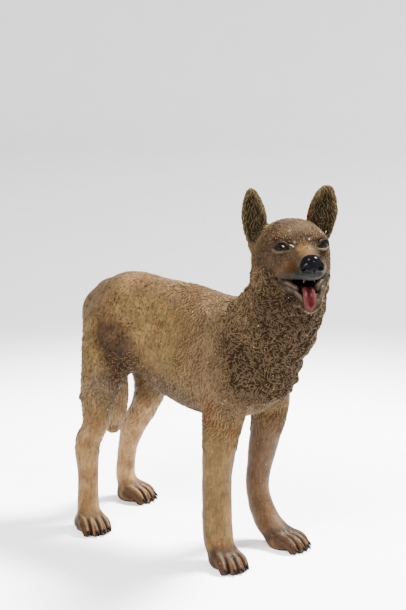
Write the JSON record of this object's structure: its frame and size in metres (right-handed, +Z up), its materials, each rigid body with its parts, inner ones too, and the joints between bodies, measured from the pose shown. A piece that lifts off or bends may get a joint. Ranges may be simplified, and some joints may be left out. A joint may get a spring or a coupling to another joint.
{
  "type": "dog figurine",
  "caption": "Standing dog figurine with its head turned aside, open mouth, upright ears, curly ruff and hanging bushy tail, resting on its paws.",
  "frame": {"origin": "on the floor plane, under the middle of the figure's bounding box", "axes": "+Z up; the body faces -Y, with the head turned towards -X; +X is the dog's own left side"},
  "size_m": [0.0713, 0.1716, 0.1995],
  "materials": {
    "painted_clay": "hand-painted and varnished"
  },
  "bodies": {
    "root": {"dog": "painted_clay"}
  },
  "joints": []
}
